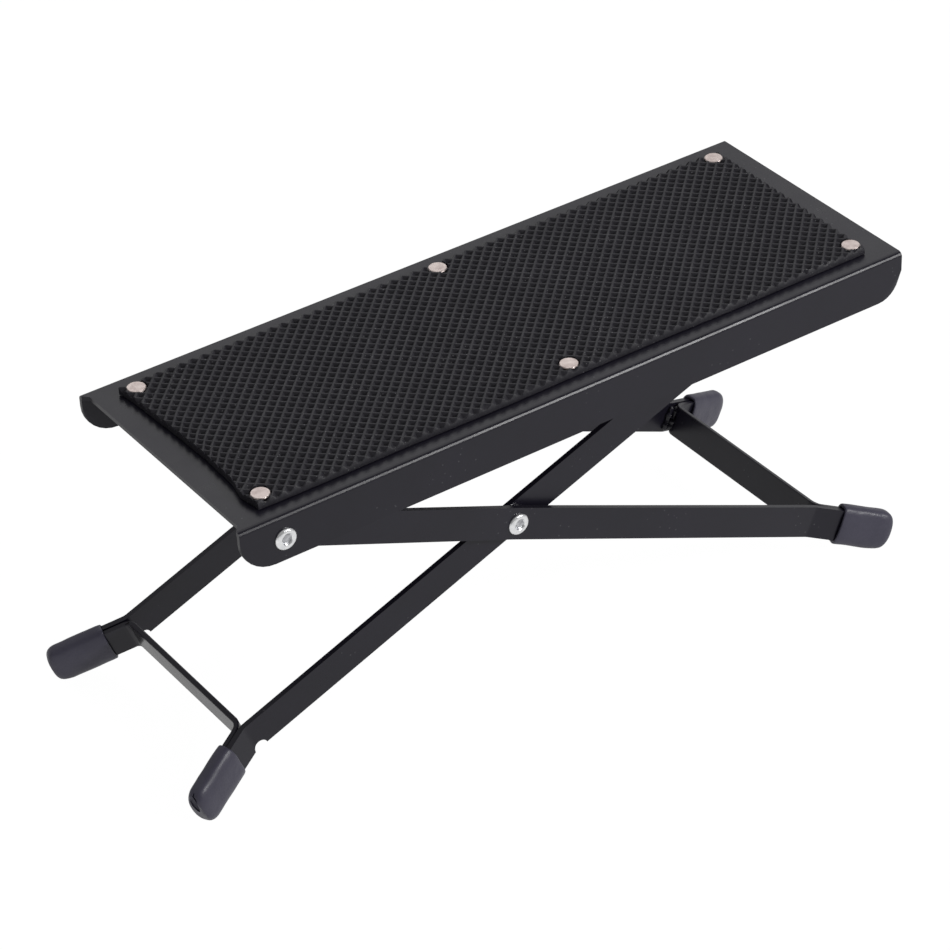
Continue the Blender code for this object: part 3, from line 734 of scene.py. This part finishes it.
def shade_round(item, degrees):
    """Smooth shading, with edges sharp past an angle."""
    item.data.shade_smooth()
    item.data.set_sharp_from_angle(angle=math.radians(degrees))


plugs_mesh = bmesh.new()
for x, y in rivet_spots:
    add_plug(plugs_mesh, x, y)
plugs = new_object("dimple plugs", plugs_mesh, tread, rubber)
mat = new_object("waffle_mat", waffle, tread, rubber)
cut_away(mat, plugs)
shade_round(mat, degrees=50.0)
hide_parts("grip_mat")
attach(mat, "tread")
print("mat faces:", len(mat.data.polygons))

# %% [markdown]
# ## Rolled rivets
# The pivots and the crossings are held by tubular rivets, whose ends are rolled over in a press.
# That leaves a bright ring round a small hole, and the hole is never quite round or in the middle.
# Each rivet is a lathe of rings, and a ring can be moved off the centre and made uneven.

# %% Sizes of the rolled rivets
shank_radius = 0.0025
# Rings of the head, from its seat on the steel out and in to the bottom of the hole: radius and height
head_profile = (
    (0.00398, 0.00004), (0.00400, 0.00030), (0.00388, 0.00062), (0.00352, 0.00094), (0.00300, 0.00114),
    (0.00250, 0.00119), (0.00212, 0.00108), (0.00184, 0.00078), (0.00160, 0.00048), (0.00120, 0.00034),
    (0.00050, 0.00040),
)
# Rings of the inner end, from its tip to the shank: radius and distance from the tip
tail_profile = ((0.0030, 0.0), (0.0037, 0.00025), (0.0037, 0.0008), (shank_radius, 0.00108))
rivet_flats = 48
ring_grain = 1.3
# A ring of this radius is round and central, and one smaller by the reach has the whole unevenness
even_radius = 0.0036
uneven_reach = 0.0016
hole_shift = 0.00035
hole_roughness = 0.16
# Faces nearer the axis than this, and this far outside the steel, are the inside of the hole,
# which gets a darker, duller zinc as painted shade
hole_radius = 0.0019
hole_clearance = 0.0001


def uneven_ring(mesh, radius, lie, seed, shift=(0.0, 0.0), rough=0.0):
    """A ring about Y at a place along it, moved off centre and made uneven."""
    ring = []
    for i in range(rivet_flats):
        angle = 2.0 * math.pi * i / rivet_flats
        spot = Vector((math.cos(angle) * ring_grain, math.sin(angle) * ring_grain, seed))
        reach = radius * (1.0 + noise.noise(spot) * rough)
        x = reach * math.cos(angle) + shift[0]
        z = reach * math.sin(angle) + shift[1]
        ring.append(mesh.verts.new((x, lie, z)))
    return ring


def join_rings(mesh, rings):
    """Skin a run of rings and close both ends."""
    flats = len(rings[0])
    for ring, following in zip(rings, rings[1:]):
        for i in range(flats):
            j = (i + 1) % flats
            mesh.faces.new((ring[i], ring[j], following[j], following[i]))
    mesh.faces.new(rings[0])
    mesh.faces.new(rings[-1])
    bmesh.ops.recalc_face_normals(mesh, faces=mesh.faces)


# %% [markdown]
# A pivot's head stands on the outside of the flange, and a crossing's on the outer leg. The inner
# end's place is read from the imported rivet, so the new rivet fills the same holes.

# %% Make the rolled rivets
sides = ((-1, "front"), (1, "rear"))
flange_face = 0.0500
outer_face_at_cross = 0.0420
pivot_seed, cross_seed = 7, 21


def rolled_rivet(node_name, centre, side, head_face, seed):
    """A rivet with a rolled head on the outside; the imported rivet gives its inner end."""
    packed = frame["nodes"][node_name]
    inner_end = min(vert.co.y * side for vert in packed.data.vertices)
    picker = random.Random(seed)
    mesh = bmesh.new()
    rings = [uneven_ring(mesh, radius, side * (inner_end + lie), seed) for radius, lie in tail_profile]
    rings.append(uneven_ring(mesh, shank_radius, side * head_face, seed))
    off = (picker.uniform(-hole_shift, hole_shift), picker.uniform(-hole_shift, hole_shift))
    head_seed = seed + 0.3
    for radius, lie in head_profile:
        share = max(0.0, min(1.0, (even_radius - radius) / uneven_reach))
        shift = (off[0] * share, off[1] * share)
        place = side * (head_face + lie)
        rings.append(uneven_ring(mesh, radius, place, head_seed, shift, hole_roughness * share))
    join_rings(mesh, rings)
    made = new_object("rolled_" + node_name, mesh, Matrix.Translation((centre.x, 0.0, centre.z)), zinc)
    # The faces inside the hole take the darker zinc, which is painted shade
    made.data.materials.append(hole_shade_zinc)
    for face in made.data.polygons:
        reach = Vector((face.center.x - centre.x, face.center.z - centre.z)).length
        if face.center.y * side > head_face + hole_clearance and reach < hole_radius:
            face.material_index = 1
    shade_round(made, degrees=50.0)
    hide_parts(node_name)
    print(made.name, "faces:", len(made.data.polygons))
    return made


for side, side_name in sides:
    pin = rolled_rivet("pivot_rivet_" + side_name, pivot, side, flange_face, pivot_seed + side)
    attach(pin, "tread")
    pin = rolled_rivet("cross_rivet_" + side_name, crossing, side, outer_face_at_cross, cross_seed + side)
    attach(pin, "outer_legs")

# %% [markdown]
# ## Weld beads
# Each folded end of a cross strap is welded to its leg in the wedge behind the fold, the outer
# strap with a double, blobby bead and the inner strap with a single one. A bead is a tube of uneven
# rings: its middle wanders and its thickness swells where the torch paused. The same black coat
# covers it.

# %% Where the feet are
# Each pair's turn in side view, its bend from the crossing, its outer face there and its flare
feet = {
    "outer": (outer_fall, 0.1383, 0.0436, math.radians(15.5)),
    "inner": (inner_turn, 0.1155, 0.0386, math.radians(22.5)),
}
bar_thickness = 0.0020


def foot_frame(legs, side):
    """The flared foot's own coordinates: X along it, Z across the bar's width."""
    pitch, bend, face, flare = feet[legs]
    at_bend = Matrix.Translation((bend, side * (face - bar_thickness / 2.0), 0.0))
    seat = at_bend @ Matrix.Rotation(side * flare, 4, "Z")
    return Matrix.Translation(crossing) @ Matrix.Rotation(pitch, 4, "Y") @ seat


print("feet:", [legs + " " + side_name for legs in feet for side, side_name in sides])

# %% Sizes of the beads
bead_length = 0.0100
bead_flats = 16
bead_rings = 26
# Each bead's place along the foot and inwards from the bar, and its radius
beads = {
    "outer": ((0.0020, 0.0023, 0.00160), (-0.0003, 0.0015, 0.00115)),
    "inner": ((0.0013, 0.0019, 0.00105),),
}
# Shares by which a bead swells, and how fast: at the torch's pauses, by chance, and ring by ring
pause_share, pause_pace = 0.16, 15.0
chance_share, chance_pace = 0.5, 520.0
ring_share = 0.06
# How lumpy its outline is, and how fast that changes round it and along it
lump_share, lump_grain, lump_pace = 0.45, 1.5, 900.0
# Its ends taper, but not to a point
taper_power = 6
least_taper = 0.02
# How far its middle wanders, as shares of its radius, and over which length
along_share, along_length = 0.6, 0.003
inward_share, inward_length = 0.2, 0.0035


def lumpy_ring(mesh, x, y, z, radius, seed):
    """A ring about Z with a lumpy outline."""
    ring = []
    for i in range(bead_flats):
        angle = 2.0 * math.pi * i / bead_flats
        spot = Vector((math.cos(angle) * lump_grain, math.sin(angle) * lump_grain, z * lump_pace + seed))
        reach = radius * (1.0 + lump_share * noise.noise(spot))
        ring.append(mesh.verts.new((x + reach * math.cos(angle), y + reach * math.sin(angle), z)))
    return ring


# %% Lay the beads
bead_seed_step = 2.7
inward_seed_step = 4.0


def weld_bead(name, legs, side, seed, bead_shape):
    """A lumpy tube across the bar's width, at a strap's fold."""
    picker = random.Random(seed)
    along, inwards, thick = bead_shape
    mesh = bmesh.new()
    rings = []
    for i in range(bead_rings):
        share = i / (bead_rings - 1.0)
        z = (share - 0.5) * bead_length
        taper = math.sqrt(max(least_taper, 1.0 - (2.0 * share - 1.0) ** taper_power))
        pause = pause_share * math.sin(share * pause_pace + seed)
        chance = chance_share * noise.noise(Vector((z * chance_pace, seed, 0.0)))
        swell = 1.0 + pause + chance
        swell += picker.uniform(-ring_share, ring_share)
        x = along + wander(z, seed, along_length, thick * along_share)
        y = -side * (inwards + wander(z, seed + inward_seed_step, inward_length, thick * inward_share))
        rings.append(lumpy_ring(mesh, x, y, z, thick * swell * taper, seed))
    join_rings(mesh, rings)
    bead = new_object(name, mesh, foot_frame(legs, side), steel)
    shade_round(bead, degrees=70.0)
    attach(bead, legs + "_legs")


bead_count = 0
for legs, shapes in beads.items():
    for side, side_name in sides:
        for place_in_fold, bead_shape in enumerate(shapes, 1):
            bead_count += 1
            name = "weld_bead_%s_%s_%d" % (legs, side_name, place_in_fold)
            weld_bead(name, legs, side, bead_seed_step * bead_count, bead_shape)
print("weld beads:", bead_count)

# %% [markdown]
# ## Soft caps
# A cap is a dipped vinyl sleeve, so it has no sharp edge at all and takes up the shape of the bar
# inside it. Each one is lofted: rings with soft corners follow the foot, close over its round end,
# and turn in again at the mouth to make the dark gap round the bar.

# %% Sizes of the caps
cap_start = {"outer": 0.0120, "inner": 0.0090}
cap_length = 0.0217
cap_half_height = 0.00775
cap_half_thickness = 0.0037
tab_offset = 0.00115
cap_flats = 64
cap_squareness = 3.1
# The pocket that the bar goes into, and how it opens at the mouth
pocket_half_height = 0.0062
pocket_half_thickness = 0.00235
pocket_floor = 0.0035
pocket_mouth = 0.0004
mouth_flare = 0.00025
pocket_squareness = 5.0
# The rim's rings: place along the cap, how far inside its full size, and squareness
rim_rings = ((-0.0001, 0.00055, 3.6), (0.0001, 0.00018, 3.3), (0.0005, 0.00003, cap_squareness))
# The plain sleeve between the rim and the round end
sleeve_start = 0.0005
sleeve_step = 0.0016
sleeve_rings = 10
# The round end: where it starts, how much lower and thinner it gets, and its last ring
round_start = 0.0165
round_rings = 14
end_squareness = 2.4
end_drop = 0.0046
end_thinning_share = 0.26
end_thinning_power = 4
tip_thickness_share = 0.30
tip_half_height = 0.0016
tip_squareness = 3.0


def soft_ring(half_thickness, half_height, squareness):
    """Points of a rounded oblong; a high squareness gives tight corners."""
    points = []
    power = 2.0 / squareness
    for i in range(cap_flats):
        angle = 2.0 * math.pi * i / cap_flats
        cosine, sine = math.cos(angle), math.sin(angle)
        y = half_thickness * math.copysign(abs(cosine) ** power, cosine)
        z = half_height * math.copysign(abs(sine) ** power, sine)
        points.append((y, z))
    return points


def cap_rings():
    """The rings of a cap from the pocket's floor, out of the mouth and along to the end."""
    rings = [
        (pocket_floor, pocket_half_thickness, pocket_half_height, pocket_squareness),
        (pocket_mouth, pocket_half_thickness, pocket_half_height, pocket_squareness),
        (0.0, pocket_half_thickness + mouth_flare, pocket_half_height + mouth_flare, pocket_squareness),
    ]
    for x, inside, squareness in rim_rings:
        rings.append((x, cap_half_thickness - inside, cap_half_height - inside, squareness))
    for i in range(1, sleeve_rings + 1):
        rings.append((sleeve_start + sleeve_step * i, cap_half_thickness, cap_half_height, cap_squareness))
    round_reach = cap_length - round_start
    for i in range(1, round_rings + 1):
        share = math.sin(0.5 * math.pi * i / round_rings)
        drop = 1.0 - max(0.0, 1.0 - share ** end_squareness) ** (1.0 / end_squareness)
        height = cap_half_height - end_drop * drop
        thickness = cap_half_thickness * (1.0 - end_thinning_share * share ** end_thinning_power)
        rings.append((round_start + round_reach * share, thickness, height, cap_squareness))
    rings.append((cap_length, cap_half_thickness * tip_thickness_share, tip_half_height, tip_squareness))
    return rings


print("rings of a cap:", len(cap_rings()))

# %% [markdown]
# Dipped vinyl is never quite even: its skin swells a little here and there, and its cut mouth
# ripples. Both are small moves of the rings' corners, by a smooth noise that differs from cap to cap.

# %% Swell and ripple
# The swell's height, and how fast it changes along and up the cap, and across it
swell_height = 0.00015
swell_pace, swell_pace_across = 230.0, 260.0
# The skin is drawn in by this first, so that the swell stays inside the cap's size
swell_room = 0.0001
# Rings whose half thickness is more than the pocket's by this are on the outside
skin_depth = 0.0003
least_half_thickness = 0.002
swell_half_height = 0.0078
# How far along the cap the mouth ripples, by how much, and how fast across it and up it
ripple_end = 0.0006
ripple_height = 0.00045
ripple_pace_across, ripple_pace_up = 300.0, 170.0


def softened(x, y, z, half_thickness, seed):
    """A corner of a cap's ring, moved by the swell and the ripple."""
    outside = 1.0 if half_thickness > pocket_half_thickness + skin_depth else 0.0
    spot = Vector((x * swell_pace + seed, y * swell_pace_across, z * swell_pace))
    growth = noise.noise(spot) * swell_height * outside - swell_room * outside
    ripple = 0.0
    if x < ripple_end:
        ripple = noise.noise(Vector((y * ripple_pace_across, z * ripple_pace_up, seed))) * ripple_height
    stretch = 1.0 + growth / max(half_thickness, least_half_thickness)
    return x + ripple, y * stretch, z * (1.0 + growth / swell_half_height)


# %% [markdown]
# The end of the front cap at the low end is split by the bar behind it. A thin lens cuts the split,
# and a wide shallow one leaves the lids beside it. Where a cap would sink below the floor it is
# pressed flat, as a worn cap is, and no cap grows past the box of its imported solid.

# %% Make the caps
# Each lens's reach into the cap, its thickness and its height
slit_lenses = ((0.0010, 0.00150, 0.0048), (0.0030, 0.00050, 0.0042))
# The lenses' middle, in from the cap's end and down from its middle
slit_inset = 0.0004
slit_drop = 0.0040
cap_seeds = {"front": 5.0, "rear": 15.0}


def lens(place, reach, thick, height):
    """A thin lens on edge, used to cut the slit."""
    mesh = bmesh.new()
    bmesh.ops.create_uvsphere(mesh, u_segments=32, v_segments=24, radius=1.0)
    for vert in mesh.verts:
        vert.co = Vector((vert.co.x * reach, vert.co.y * thick, vert.co.z * height))
    return new_object("slit lens", mesh, place, vinyl)


def keep_in_box(cap, packed):
    """Press a cap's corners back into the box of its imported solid."""
    corners = [vert.co for vert in packed.data.vertices]
    low = [min(co[axis] for co in corners) for axis in range(3)]
    high = [max(co[axis] for co in corners) for axis in range(3)]
    for vert in cap.data.vertices:
        vert.co = Vector([min(max(vert.co[axis], low[axis]), high[axis]) for axis in range(3)])


def soft_cap(legs, side, side_name, seed):
    """A lofted cap on a flared foot."""
    end_name = "high" if legs == "outer" else "low"
    node_name = end_name + "_foot_cap_" + side_name
    place = foot_frame(legs, side) @ Matrix.Translation((cap_start[legs], -side * tab_offset, 0.0))
    mesh = bmesh.new()
    rings = []
    for x, thickness, height, squareness in cap_rings():
        points = soft_ring(thickness, height, squareness)
        rings.append([mesh.verts.new(softened(x, y, z, thickness, seed)) for y, z in points])
    join_rings(mesh, rings)
    cap = new_object("soft_" + node_name, mesh, place, vinyl)
    keep_in_box(cap, frame["nodes"][node_name])
    if node_name == "low_foot_cap_front":
        slit_place = place @ Matrix.Translation((cap_length - slit_inset, 0.0, -slit_drop))
        for reach, thick, height in slit_lenses:
            cut_away(cap, lens(slit_place, reach, thick, height))
    shade_round(cap, degrees=55.0)
    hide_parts(node_name)
    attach(cap, legs + "_legs")
    print(cap.name, "faces:", len(cap.data.polygons))


for seed_step, legs in enumerate(("outer", "inner")):
    for side, side_name in sides:
        soft_cap(legs, side, side_name, cap_seeds[side_name] + seed_step)
